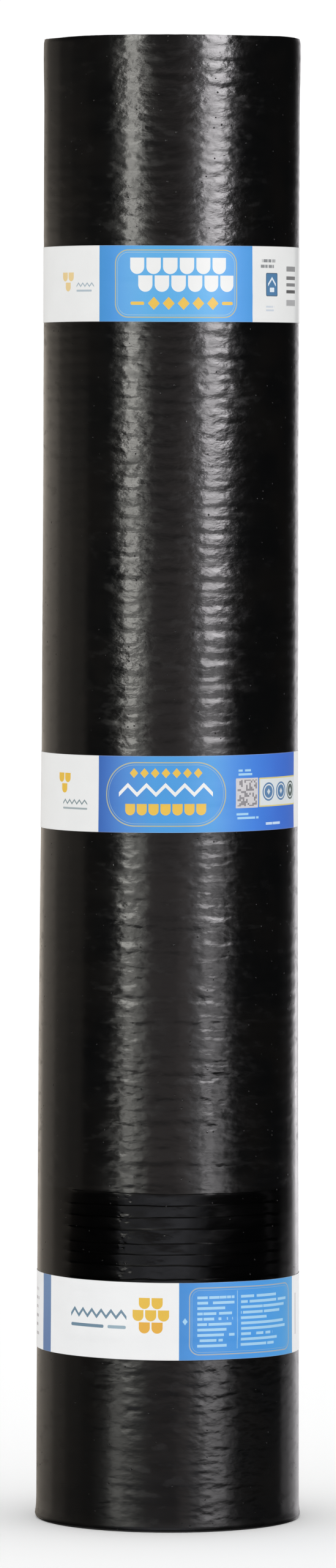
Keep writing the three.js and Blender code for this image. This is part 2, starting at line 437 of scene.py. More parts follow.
class Nodes:
    """A small helper that makes and links shader nodes."""

    def __init__(self, name):
        self.material = bpy.data.materials.new(name)
        self.material.use_nodes = True
        self.tree = self.material.node_tree
        self.tree.nodes.clear()
        self.out = self.tree.nodes.new("ShaderNodeOutputMaterial")
        self.shader = self.tree.nodes.new("ShaderNodeBsdfPrincipled")
        self.tree.links.new(self.shader.outputs[0], self.out.inputs[0])
        uv = self.tree.nodes.new("ShaderNodeUVMap")
        uv.uv_map = "sheet"
        self.uv = uv.outputs[0]
        split = self.tree.nodes.new("ShaderNodeSeparateXYZ")
        self.tree.links.new(self.uv, split.inputs[0])
        self.u, self.v = split.outputs[0], split.outputs[1]

    def put(self, socket, value):
        if isinstance(value, bpy.types.NodeSocket):
            self.tree.links.new(value, socket)
        elif value is not None:
            socket.default_value = value

    def math(self, op, a, b=None, c=None, clamp=False):
        n = self.tree.nodes.new("ShaderNodeMath")
        n.operation, n.use_clamp = op, clamp
        for k, v in enumerate((a, b, c)):
            if v is not None:
                self.put(n.inputs[k], v)
        return n.outputs[0]

    def add(self, a, b): return self.math("ADD", a, b)
    def sub(self, a, b): return self.math("SUBTRACT", a, b)
    def mul(self, a, b): return self.math("MULTIPLY", a, b)
    def div(self, a, b): return self.math("DIVIDE", a, b)
    def less(self, a, b): return self.math("LESS_THAN", a, b)
    def more(self, a, b): return self.math("GREATER_THAN", a, b)
    def low(self, a, b): return self.math("MINIMUM", a, b)
    def high(self, a, b): return self.math("MAXIMUM", a, b)

    def step(self, value, a, b, lo=0.0, hi=1.0):
        n = self.tree.nodes.new("ShaderNodeMapRange")
        n.interpolation_type = "SMOOTHSTEP"
        for k, v in enumerate((value, a, b, lo, hi)):
            self.put(n.inputs[k], v)
        return n.outputs[0]

    def vector(self, x, y, z=0.0):
        n = self.tree.nodes.new("ShaderNodeCombineXYZ")
        for k, v in enumerate((x, y, z)):
            self.put(n.inputs[k], v)
        return n.outputs[0]

    def noise(self, vector, scale, detail=2.0, rough=0.5, distortion=0.0):
        n = self.tree.nodes.new("ShaderNodeTexNoise")
        self.put(n.inputs["Vector"], vector)
        n.inputs["Scale"].default_value = scale
        n.inputs["Detail"].default_value = detail
        n.inputs["Roughness"].default_value = rough
        n.inputs["Distortion"].default_value = distortion
        return n.outputs["Fac"]

    def voronoi(self, vector, scale, feature="F1", output="Distance", randomness=1.0):
        n = self.tree.nodes.new("ShaderNodeTexVoronoi")
        n.feature = feature
        self.put(n.inputs["Vector"], vector)
        n.inputs["Scale"].default_value = scale
        n.inputs["Randomness"].default_value = randomness
        return n.outputs[output]

    def mix(self, fac, a, b):
        n = self.tree.nodes.new("ShaderNodeMix")
        n.data_type = "RGBA"
        self.put(n.inputs[0], fac)
        self.put(n.inputs[6], a if isinstance(a, bpy.types.NodeSocket) else (*a, 1.0))
        self.put(n.inputs[7], b if isinstance(b, bpy.types.NodeSocket) else (*b, 1.0))
        return n.outputs[2]

    def blendf(self, fac, a, b):
        n = self.tree.nodes.new("ShaderNodeMix")
        n.data_type = "FLOAT"
        self.put(n.inputs[0], fac)
        self.put(n.inputs[2], a)
        self.put(n.inputs[3], b)
        return n.outputs[0]

    def bump(self, height, distance, strength=1.0, normal=None):
        n = self.tree.nodes.new("ShaderNodeBump")
        n.inputs["Strength"].default_value = strength
        n.inputs["Distance"].default_value = distance
        self.put(n.inputs["Height"], height)
        if normal is not None:
            self.put(n.inputs["Normal"], normal)
        return n.outputs[0]

    def set(self, **values):
        names = {"color": "Base Color", "rough": "Roughness", "normal": "Normal", "ior": "IOR",
                 "coat": "Coat Weight", "coat_rough": "Coat Roughness", "spec": "Specular IOR Level"}
        for key, value in values.items():
            socket = self.shader.inputs[names[key]]
            if key == "color" and not isinstance(value, bpy.types.NodeSocket):
                value = (*value, 1.0)
            self.put(socket, value)
        return self.material


def film_material():
    """Outer face of the felt: near-black bitumen under a glossy, finely ringed film."""
    n = Nodes("bitumen_film")
    u, v = n.u, n.v
    # rings that run round the roll: noise stretched along u
    ring_at = n.vector(n.mul(u, 45.0), n.mul(v, 125.0), 3.1)
    ring = n.noise(ring_at, 1.0, 0.6, 0.5)
    dash = n.noise(n.vector(n.mul(u, 110.0), n.mul(v, 235.0), 7.7), 1.0, 0.5, 0.45, 0.0)
    blob = n.noise(n.vector(n.mul(u, 210.0), n.mul(v, 300.0), 1.9), 1.0, 0.6, 0.45, 0.0)
    crinkle = n.noise(n.vector(n.mul(u, 1.0), n.mul(v, 1.9), 0.0), 430.0, 1.0, 0.45, 0.2)
    patch = n.noise(n.vector(u, v, 1.3), 26.0, 2.0, 0.55)
    lively = n.step(n.noise(n.vector(n.mul(u, 9.0), n.mul(v, 22.0), 5.5), 1.0, 2.0, 0.5), 0.30, 0.70)
    # small pits and a few blisters
    cell = n.voronoi(n.vector(u, v, 0.0), 185.0)
    pick = n.voronoi(n.vector(u, v, 0.0), 185.0, output="Color")
    sep = n.tree.nodes.new("ShaderNodeSeparateColor")
    n.put(sep.inputs[0], pick)
    chosen = n.more(sep.outputs[0], n.step(v, 0.70, 0.86, 0.68, 0.46))    # more of them near the top
    wide = n.add(0.07, n.mul(sep.outputs[1], 0.075))
    pit = n.mul(n.step(cell, wide, n.mul(wide, 0.45)), chosen)
    blister = n.mul(n.step(cell, 0.14, 0.02), n.less(sep.outputs[0], 0.02))

    # dull zone near the lower band
    edge = n.add(MATT_ZONE[1] / 1000.0, n.mul(n.sub(n.noise(n.vector(n.mul(u, 30.0), 0.0, 0.0), 1.0, 2.0), 0.5), 0.0022))
    dull = n.mul(n.step(v, edge, n.sub(edge, 0.0012)), n.step(v, MATT_ZONE[0] / 1000.0 - 0.002, MATT_ZONE[0] / 1000.0))

    colour = n.mix(n.step(patch, 0.35, 0.7), (0.0024, 0.0026, 0.0028), (0.0040, 0.0036, 0.0033))
    colour = n.mix(dull, colour, (0.0003, 0.0003, 0.0004))
    rough = n.add(0.180, n.mul(n.sub(ring, 0.5), 0.12))
    rough = n.add(rough, n.mul(n.sub(patch, 0.5), 0.09))
    rough = n.add(rough, n.mul(pit, 0.45))
    rough = n.add(rough, n.step(v, 0.0085, 0.0040, 0.0, 0.10))     # scuffed along the foot
    smudge = n.step(n.noise(n.vector(n.mul(u, 60.0), n.mul(v, 130.0), 2.2), 1.0, 2.0, 0.6), 0.54, 0.70)
    rough = n.add(rough, n.mul(n.mul(smudge, n.sub(1.0, dull)), 0.10))
    # dust lies on the upper edges of the saw-toothed rings
    facing = n.tree.nodes.new("ShaderNodeSeparateXYZ")
    n.tree.links.new(n.tree.nodes.new("ShaderNodeNewGeometry").outputs["Normal"], facing.inputs[0])
    dusty = n.mul(n.step(u, -0.040, -0.028), n.step(u, 0.034, 0.018))
    rough = n.add(rough, n.mul(n.mul(dull, dusty), n.step(facing.outputs[2], 0.25, 0.50, 0.0, 0.15)))
    # calmer near the foot, in the dull zone and along the flanks
    near = n.step(v, 0.125, 0.095)
    left = n.mul(n.step(u, n.blendf(near, -0.034, -0.050), n.blendf(near, -0.047, -0.067)), n.step(u, -0.195, -0.150))
    right = n.mul(n.step(u, 0.062, 0.092), n.step(u, 0.195, 0.150))
    middle = n.mul(n.step(u, -0.019, -0.012), n.step(u, 0.018, 0.012))
    flank = n.sub(1.0, n.add(n.add(n.mul(left, 0.85), n.mul(right, 0.68)), n.mul(middle, 0.45)))
    foot = n.step(v, n.blendf(n.step(u, -0.005, 0.02), 0.05, 0.015), n.blendf(n.step(u, -0.005, 0.02), 0.16, 0.11), n.blendf(n.step(u, -0.005, 0.02), 0.34, 0.66), 1.0)
    calm = n.mul(n.mul(foot, n.sub(1.0, n.mul(dull, 0.62))), flank)
    crumbs = n.mul(n.mul(dull, n.step(n.noise(n.vector(n.mul(u, 90.0), n.mul(v, 110.0), 8.8), 1.0, 1.0), 0.48, 0.60)),
                   n.add(n.mul(n.step(u, -0.0345, -0.0315), n.step(u, -0.0215, -0.0245)), n.add(n.mul(n.mul(n.step(u, -0.052, -0.044), n.step(u, -0.012, -0.022)), 0.15), n.mul(n.mul(n.step(u, -0.022, -0.012), n.step(u, 0.030, 0.018)), 0.14))))
    # heights in mm; each layer is centred on nought, so that fading it out leaves no slope behind
    fine = n.mul(n.add(0.45, n.mul(lively, 0.55)), n.step(v, 0.45, 0.62, 0.55, 1.0))
    layers = (
        (ring, n.add(n.add(0.045, n.mul(calm, 0.275)), n.mul(n.mul(dull, middle), 0.22))),
        (dash, n.mul(calm, 0.36)),
        (blob, n.add(n.mul(n.mul(calm, n.add(0.6, n.mul(lively, 0.4))), 0.18), n.mul(crumbs, 0.46))),
        (crinkle, n.add(n.mul(n.mul(calm, fine), 0.105), n.mul(crumbs, 0.08))),
    )
    height = n.mul(n.sub(n.mul(blister, 0.3), pit), 0.28)
    for noise, share in layers:
        height = n.add(height, n.mul(n.sub(noise, 0.5), share))
    bump = n.bump(height, 0.001, 1.0)
    return n.set(color=colour, rough=rough, normal=bump, ior=1.5)


def cut_edge_material():
    """Cut edge of the sheet: bitumen either side of a thin pale carrier, matt and smeared."""
    n = Nodes("felt_cut_edge")
    u, t = n.u, n.v
    wobble = n.mul(n.sub(n.noise(n.vector(n.mul(u, 60.0), 0.0, 2.0), 1.0, 3.0), 0.5), 0.0008)
    line = n.step(n.math("ABSOLUTE", n.sub(t, n.add(0.0019, wobble))), 0.00045, 0.00016)
    broken = n.step(n.noise(n.vector(n.mul(u, 190.0), n.mul(t, 700.0), 0.0), 1.0, 4.0, 0.7), 0.42, 0.66)
    stretch = n.step(n.noise(n.vector(n.mul(u, 14.0), 0.0, 6.0), 1.0, 2.0, 0.6), 0.34, 0.66, 0.15, 1.0)
    grain = n.noise(n.vector(u, t, 0.4), 900.0, 3.0, 0.6)
    smear = n.noise(n.vector(n.mul(u, 35.0), n.mul(t, 160.0), 3.4), 1.0, 3.0, 0.6)
    base = n.mix(grain, (0.006, 0.006, 0.0065), (0.020, 0.019, 0.018))
    base = n.mix(n.step(smear, 0.52, 0.72), base, (0.004, 0.004, 0.0045))
    colour = n.mix(n.mul(n.mul(n.mul(line, broken), stretch), 0.85), base, (0.17, 0.16, 0.15))
    granule = n.mul(n.step(t, 0.0029, 0.0033), n.step(n.noise(n.vector(u, t, 5.0), 1300.0, 1.0), 0.45, 0.6))
    colour = n.mix(granule, colour, (0.05, 0.052, 0.055))
    rough = n.sub(n.add(0.5, n.mul(grain, 0.35)), n.mul(n.step(smear, 0.52, 0.72), 0.18))
    bump = n.bump(grain, 0.00025, 1.0)
    bump = n.bump(smear, 0.00030, 1.0, bump)
    return n.set(color=colour, rough=rough, normal=bump, ior=1.5)


def mineral_material():
    """Inner face of the sheet: slate granules pressed into the bitumen."""
    n = Nodes("mineral_face")
    at = n.vector(n.u, n.v, 0.0)
    cell = n.voronoi(at, 800.0)
    tint = n.voronoi(at, 800.0, output="Color")
    sep = n.tree.nodes.new("ShaderNodeSeparateColor")
    n.put(sep.inputs[0], tint)
    stone = n.mix(sep.outputs[1], (0.022, 0.023, 0.026), (0.095, 0.10, 0.11))
    colour = n.mix(n.step(cell, 0.45, 0.75), stone, (0.006, 0.006, 0.006))
    bump = n.bump(n.math("SUBTRACT", 1.0, cell), 0.0004, 1.0)
    return n.set(color=colour, rough=n.add(0.55, n.mul(sep.outputs[2], 0.3)), normal=bump, ior=1.5)


WHITE = (0.81, 0.815, 0.81)
GOLD = (0.80, 0.50, 0.045)
GOLD_SOFT = (0.80, 0.60, 0.28)
KEYLINE = (0.42, 0.44, 0.30)
KEYLINE_GREY = (0.36, 0.42, 0.47)
SLATE = (0.15, 0.255, 0.345)
GREY = (0.30, 0.33, 0.36)
PALE = (0.36, 0.64, 0.88)
STRIPE = (0.125, 0.215, 0.42)
# the blue ground of each band: distance round from the front (mm), colour. The blue itself is print; its lighter and
# darker stretches on the way round are painted sheen and painted shade
BLUES = {
    "upper": [(-53, (0.032, 0.265, 0.63)), (-38, (0.034, 0.285, 0.72)), (-16, (0.044, 0.36, 0.74)),
              (28, (0.046, 0.37, 0.77)), (44, (0.038, 0.315, 0.79)), (60, (0.040, 0.30, 0.74))],
    "middle": [(-51, (0.014, 0.110, 0.46)), (-42, (0.024, 0.150, 0.54)), (-28, (0.034, 0.225, 0.64)),
               (-10, (0.038, 0.305, 0.72)), (30, (0.034, 0.305, 0.73)), (44, (0.032, 0.25, 0.75)),
               (62, (0.028, 0.205, 0.75)), (86, (0.028, 0.155, 0.68)), (114, (0.026, 0.13, 0.60))],
    "lower": [(8, (0.036, 0.25, 0.66)), (25, (0.038, 0.285, 0.74)), (60, (0.042, 0.31, 0.79)),
              (90, (0.062, 0.345, 0.77)), (107, (0.115, 0.40, 0.74))],
}


class Print:
    """Draws flat shapes on a band. u runs round the roll from the front in mm, v up the band in mm."""

    def __init__(self, n, low):
        self.n = n
        self.u = n.mul(n.u, 1000.0)
        self.v = n.sub(n.mul(n.v, 1000.0), low)
        self.colour = None

    def ink(self, mask, colour):
        if self.colour is None:
            self.colour = self.n.mix(0.0, colour, colour)   # the bare sheet
        else:
            self.colour = self.n.mix(mask, self.colour, colour)

    def box(self, u0, u1, v0, v1, radius=0.0):
        """A filled box, with round corners of the radius given."""
        n = self.n
        cu, cv, hu, hv = (u0 + u1) / 2, (v0 + v1) / 2, (u1 - u0) / 2, (v1 - v0) / 2
        du = n.sub(n.math("ABSOLUTE", n.sub(self.u, cu)), hu - radius)
        dv = n.sub(n.math("ABSOLUTE", n.sub(self.v, cv)), hv - radius)
        if radius <= 0:
            return n.less(n.high(du, dv), 0.0)
        a, b = n.high(du, 0.0), n.high(dv, 0.0)
        far = n.math("SQRT", n.add(n.mul(a, a), n.mul(b, b)))
        return n.less(far, radius)

    def frame(self, u0, u1, v0, v1, radius, width):
        outer = self.box(u0, u1, v0, v1, radius)
        inner = self.box(u0 + width, u1 - width, v0 + width, v1 - width, max(radius - width, 0.01))
        return self.n.sub(outer, inner)

    def disc(self, cu, cv, r):
        n = self.n
        a, b = n.sub(self.u, cu), n.sub(self.v, cv)
        return n.less(n.math("SQRT", n.add(n.mul(a, a), n.mul(b, b))), r)

    def ring(self, cu, cv, r, width):
        return self.n.sub(self.disc(cu, cv, r), self.disc(cu, cv, r - width))

    def lines(self, u0, u1, v0, v1, pitch, bar, word, gap, seed):
        """Rows of short dashes of uneven length, as small print looks from afar."""
        n = self.n
        area = self.box(u0, u1, v0, v1)
        row = n.math("FLOOR", n.div(n.sub(self.v, v0), pitch))
        inside = n.less(n.math("FRACT", n.div(n.sub(self.v, v0), pitch)), bar)
        words = n.noise(n.vector(n.div(self.u, word), n.mul(row, 7.31), seed), 1.0, 0.0)
        on = n.more(words, gap)
        # ragged right-hand ends
        tail = n.noise(n.vector(n.mul(row, 3.77), seed, 0.5), 1.0, 0.0)
        reach = n.add(u0 + (u1 - u0) * 0.25, n.mul(tail, (u1 - u0) * 1.1))
        return n.mul(n.mul(area, n.mul(inside, on)), n.less(self.u, reach))

    def tiles(self, u0, count, v0, w, h, gap):
        """A course of roof shingles with round lower ends."""
        n = self.n
        t = n.div(n.sub(self.u, u0), w)
        du = n.math("ABSOLUTE", n.mul(n.sub(n.math("FRACT", t), 0.5), w))
        dv = n.low(n.sub(n.sub(self.v, v0), w / 2), 0.0)
        far = n.math("SQRT", n.add(n.mul(du, du), n.mul(dv, dv)))
        return n.mul(self.box(u0, u0 + count * w, v0, v0 + h), n.less(far, w / 2 - gap))

    def lozenges(self, u0, count, pitch, v, a, b):
        n = self.n
        du = n.math("ABSOLUTE", n.mul(n.sub(n.math("FRACT", n.div(n.sub(self.u, u0), pitch)), 0.5), pitch))
        dv = n.math("ABSOLUTE", n.sub(self.v, v))
        return n.mul(self.box(u0, u0 + count * pitch, v - b, v + b), n.less(n.add(n.div(du, a), n.div(dv, b)), 1.0))

    def peaks(self, u0, count, pitch, v, rise, thick):
        """A zigzag line of low gables."""
        n = self.n
        du = n.math("ABSOLUTE", n.sub(n.math("FRACT", n.div(n.sub(self.u, u0), pitch)), 0.5))
        line = n.sub(v + rise / 2, n.mul(du, 2 * rise))
        on = n.less(n.math("ABSOLUTE", n.sub(self.v, line)), thick / 2)
        return n.mul(self.box(u0, u0 + count * pitch, v - rise, v + rise), on)

    def mosaic(self, u0, u1, v0, v1, cell, share, seed):
        """Small squares switched on at random."""
        n = self.n
        at = n.vector(n.math("FLOOR", n.div(self.u, cell)), n.math("FLOOR", n.div(self.v, cell)), seed)
        white = n.tree.nodes.new("ShaderNodeTexWhiteNoise")
        white.noise_dimensions = "3D"
        n.put(white.inputs["Vector"], at)
        return n.mul(self.box(u0, u1, v0, v1), n.less(white.outputs["Value"], share))

    def ground(self, stops):
        """Colour that changes on the way round, as a smooth row of stops."""
        n = self.n
        first, last = stops[0][0], stops[-1][0]
        node = n.tree.nodes.new("ShaderNodeValToRGB")
        n.put(node.inputs[0], n.div(n.sub(self.u, first), last - first))
        e = node.color_ramp.elements
        while len(e) > 1:
            e.remove(e[-1])
        for k, (at, colour) in enumerate(stops):
            stop = e[0] if k == 0 else e.new((at - first) / (last - first))
            stop.position = (at - first) / (last - first)
            stop.color = (*colour, 1.0)
        return node.outputs[0]

    def slant(self, u0, u1, v0, v1, pitch, share, lean=1.0):
        n = self.n
        s = n.add(self.u, n.mul(self.v, lean))
        return n.mul(self.box(u0, u1, v0, v1), n.less(n.math("FRACT", n.div(s, pitch)), share))


def deg(a):
    """Distance round the roll in mm for an angle from the front in degrees."""
    return math.radians(a) * R_NOMINAL


def paper_material(name):
    n = Nodes("paper_" + name)
    low, high = BANDS[name][:2]
    h = high - low
    p = Print(n, low)
    white = WHITE if name != "lower" else (0.86, 0.865, 0.87)
    p.ink(None, white)
    # the printed blue ground, painted lighter and darker on the way round as painted sheen and painted shade
    blue = p.ground(BLUES[name])
    if name == "upper":
        left, right = deg(-33.2), deg(39.3)
        p.ink(p.box(left, right, -1, h + 1), blue)
        # a paler field inside a thin double keyline
        p.ink(n.mul(p.box(left + 12.6, right - 13.0, 3.0, h - 3.0, 9.0), 0.22), (0.16, 0.48, 0.82))
        p.ink(p.frame(left + 12.2, right - 12.6, 2.6, h - 2.6, 9.6, 0.8), KEYLINE)
        p.ink(p.frame(left + 14.0, right - 14.4, 4.4, h - 4.4, 8.0, 0.35), (0.30, 0.50, 0.62))
        # two courses of white shingles over a chain of gold lozenges between short bars
        at = left + 22.5
        p.ink(p.tiles(at, 6, 31.0, 11.2, 11.6, 0.75), white)
        p.ink(p.tiles(at + 5.6, 6, 19.2, 11.2, 11.6, 0.75), white)
        p.ink(p.lozenges(at + 12.0, 5, 10.0, 12.3, 4.0, 4.3), GOLD)
        p.ink(p.box(at + 1.0, at + 10.5, 11.2, 13.4, 1.0), GOLD)
        p.ink(p.box(at + 63.5, at + 71.5, 11.2, 13.4, 1.0), GOLD)
        # on the white at the right: small print, a blue tile with a white gable, a column of bars
        p.ink(p.lines(right + 7.5, right + 27.5, 36.3, 43.7, 3.7, 0.56, 1.5, 0.40, 4.0), (0.26, 0.27, 0.28))
        p.ink(p.box(right + 12.5, right + 25.0, 17.4, 33.0, 1.0), (0.055, 0.12, 0.20))
        p.ink(p.box(right + 13.1, right + 24.4, 18.0, 32.4, 0.7), (0.060, 0.20, 0.40))
        p.ink(p.peaks(right + 14.6, 1, 8.4, 27.2, 4.6, 1.9), (0.72, 0.80, 0.88))
        p.ink(p.box(right + 16.4, right + 21.2, 20.2, 23.2, 0.5), (0.72, 0.80, 0.88))
        p.ink(p.lines(right + 12.5, right + 25.0, 7.4, 12.2, 2.4, 0.5, 1.6, 0.35, 14.0), (0.60, 0.65, 0.72))
        for low_v, high_v, tone in ((34.2, 37.6, 0.30), (28.6, 31.0, 0.20), (24.2, 26.4, 0.24), (19.6, 21.8, 0.12), (11.2, 15.2, 0.42)):
            p.ink(p.box(right + 37.0, right + 53.5, low_v, high_v, 0.3), (tone, tone, tone * 1.02))
        # painted shade: the band is painted greyer in a soft stripe near its far right side
        p.ink(n.mul(n.mul(n.step(p.u, 108.0, 119.0), n.step(p.u, 126.0, 121.0)), 0.38), (0.40, 0.41, 0.42))
        # small pale mark on the white at the left
        p.ink(p.tiles(left - 36.0, 2, 26.5, 6.6, 6.4, 0.5), GOLD_SOFT)
        p.ink(p.tiles(left - 32.7, 1, 19.8, 6.6, 6.4, 0.5), GOLD_SOFT)
        p.ink(p.peaks(left - 20.5, 4, 4.0, 24.6, 2.2, 1.2), (0.38, 0.46, 0.52))
        p.ink(p.box(left - 20.5, left - 6.5, 20.0, 21.3, 0.5), (0.42, 0.50, 0.56))
    elif name == "middle":
        left, right = deg(-32.4), deg(74.6)
        p.ink(p.box(left, right, -1, h + 1), blue)
        p.ink(p.frame(left + 6, left + 89, 4.0, h - 4.0, 21.0, 0.8), KEYLINE)
        p.ink(p.frame(left + 7.8, left + 87.2, 5.8, h - 5.8, 19.2, 0.35), (0.24, 0.40, 0.56))
        # a gold chain, a wide white zigzag, and a gold course of shingles
        at = left + 19.5
        p.ink(p.lozenges(at + 3.0, 7, 7.2, 39.8, 2.9, 3.3), GOLD)
        p.ink(p.peaks(at - 4.0, 5, 12.8, 28.6, 6.4, 3.0), white)
        p.ink(p.tiles(at, 7, 11.0, 8.0, 8.2, 0.6), GOLD)
        # a pale tile of small squares with fine print above and below it
        sq = deg(31.2)
        p.ink(p.box(sq, sq + 18.6, 15.6, 35.6, 0.5), (0.62, 0.60, 0.62))
        p.ink(p.mosaic(sq + 1.2, sq + 17.4, 16.8, 34.4, 1.35, 0.45, 3.0), (0.26, 0.25, 0.27))
        p.ink(p.lines(sq + 2.0, sq + 19.0, 37.4, 42.6, 2.6, 0.56, 2.6, 0.30, 9.0), PALE)
        p.ink(p.lines(sq + 0.5, sq + 19.0, 8.2, 13.4, 2.6, 0.56, 2.6, 0.30, 12.0), PALE)
        p.ink(p.lines(sq + 26.0, sq + 46.0, 3.6, 6.4, 2.8, 0.6, 2.2, 0.28, 13.0), (0.55, 0.70, 0.90))
        # a row of round marks on a pale strip edged in gold, running on round the side
        p.ink(p.box(sq + 19.6, right + 0.5, 15.8, 35.4, 0.6), (0.70, 0.60, 0.22))
        p.ink(p.box(sq + 20.4, right + 0.5, 16.7, 34.5, 0.5), (0.70, 0.74, 0.76))
        for k in range(3):
            mid = sq + 29.0 + 14.5 * k
            tone = (0.090, 0.215, 0.42) if k < 2 else (0.10, 0.14, 0.13)
            p.ink(p.ring(mid, 25.8, 6.2, 1.1), tone)
            p.ink(p.disc(mid, 25.8, 4.2), tone)
            p.ink(p.lozenges(mid - 2.2, 1, 4.4, 25.8, 1.7, 2.1), (0.60, 0.66, 0.70))
        # small mark on the white at the left
        p.ink(p.tiles(left - 39.0, 2, 32.0, 7.0, 6.8, 0.5), GOLD)
        p.ink(p.tiles(left - 35.5, 1, 24.9, 7.0, 6.8, 0.5), GOLD)
        p.ink(p.peaks(left - 33.5, 5, 4.8, 19.6, 2.6, 1.3), (0.22, 0.29, 0.31))
        p.ink(p.box(left - 33.5, left - 9.5, 14.6, 15.9, 0.5), (0.36, 0.42, 0.44))
    else:
        p.ink(p.box(deg(-70.3), deg(-61.8), -1, h + 1), n.mix(n.step(p.v, 0.0, h), STRIPE, (0.145, 0.25, 0.45)))
        p.ink(p.lines(deg(-84.0), deg(-77.5), 9.0, 45.0, 6.0, 0.34, 2.0, 0.40, 41.0), (0.45, 0.42, 0.44))
        left, right = deg(5.4), deg(70.7)
        p.ink(p.box(left, right, -1, h + 1), blue)
        p.ink(p.frame(left + 6.5, right - 6.0, 3.2, h - 3.2, 7.0, 0.8), KEYLINE_GREY)
        p.ink(p.frame(left + 8.3, right - 7.8, 5.0, h - 5.0, 5.4, 0.35), (0.20, 0.40, 0.66))
        p.ink(p.lines(left + 12, left + 38, 8.6, 44.6, 3.6, 0.50, 3.6, 0.33, 21.0), PALE)
        p.ink(p.lines(left + 43, right - 11, 8.6, 44.6, 3.6, 0.50, 3.6, 0.29, 33.0), PALE)
        p.ink(p.box(left + 40, left + 40.6, 7.0, 46.0), (0.24, 0.50, 0.80))
        p.ink(p.lozenges(left + 1.6, 1, 4.6, h / 2, 1.7, 2.4), PALE)
        p.ink(p.box(right + 6.0, right + 8.5, 12.0, 40.0, 0.4), (0.62, 0.60, 0.62))
        # plain mark on the white: a slate-blue zigzag over two bars, then gold shingles
        at = deg(-45.0)
        p.ink(p.peaks(at - 1.5, 6, 7.2, 30.0, 4.6, 2.5), SLATE)
        p.ink(p.box(at - 1.1, at + 25.5, 20.4, 22.6, 0.9), SLATE)
        p.ink(p.box(at + 28.5, at + 41.3, 20.4, 22.6, 0.9), (0.30, 0.42, 0.50))
        p.ink(p.tiles(at + 49.5, 2, 33.8, 8.4, 8.0, 0.55), GOLD)
        p.ink(p.tiles(at + 45.3, 3, 25.6, 8.4, 8.0, 0.55), GOLD)
        p.ink(p.tiles(at + 49.5, 2, 17.4, 8.4, 8.0, 0.55), (0.80, 0.42, 0.035))
    # print and paper vary a little, and the band is painted darker along its top and bottom edges as painted shade
    cloud = n.noise(n.vector(n.u, n.v, 2.2), 45.0, 3.0, 0.55)
    fibre = n.noise(n.vector(n.u, n.v, 9.0), 900.0, 2.0, 0.6)
    shade = n.add(0.955, n.mul(n.add(n.mul(cloud, 0.7), n.mul(fibre, 0.3)), 0.09))
    tone = n.vector(shade, shade, n.mul(shade, 0.998))
    tint = n.tree.nodes.new("ShaderNodeMix")
    tint.data_type, tint.blend_type = "RGBA", "MULTIPLY"
    tint.inputs[0].default_value = 1.0
    n.put(tint.inputs[6], p.colour)
    n.put(tint.inputs[7], tone)
    # painted shade: a darker line along the band's top and bottom edges
    edge = n.high(n.step(p.v, 0.5, 0.0), n.step(p.v, h - 0.5, h))
    colour = n.mix(n.mul(edge, 0.35), tint.outputs[2], (0.42, 0.42, 0.42))
    ring_at = n.vector(n.mul(n.u, 5.0), n.mul(n.v, 115.0), 3.1)
    ring = n.noise(ring_at, 1.0, 1.0, 0.5)
    crease = n.noise(n.vector(n.mul(n.u, 0.5), n.v, 4.0), 60.0, 3.0, 0.5, 0.4)
    bump = n.bump(ring, 0.00008, 1.0)
    bump = n.bump(crease, 0.00025, 0.5, bump)
    bump = n.bump(fibre, 0.00002, 1.0, bump)
    rough = n.add(0.42, n.mul(cloud, 0.14))
    return n.set(color=colour, rough=rough, normal=bump, ior=1.45)


# ------------------------------------------------------------------ the bands


def surface_radius(theta, z):
    """Outer radius of the roll at an angle: the spiral's last turn, without relief."""
    back = ((FREE_END - theta) / (2 * math.pi)) % 1.0
    return turn_radius(back, z) + free_end_lift(back, z), back


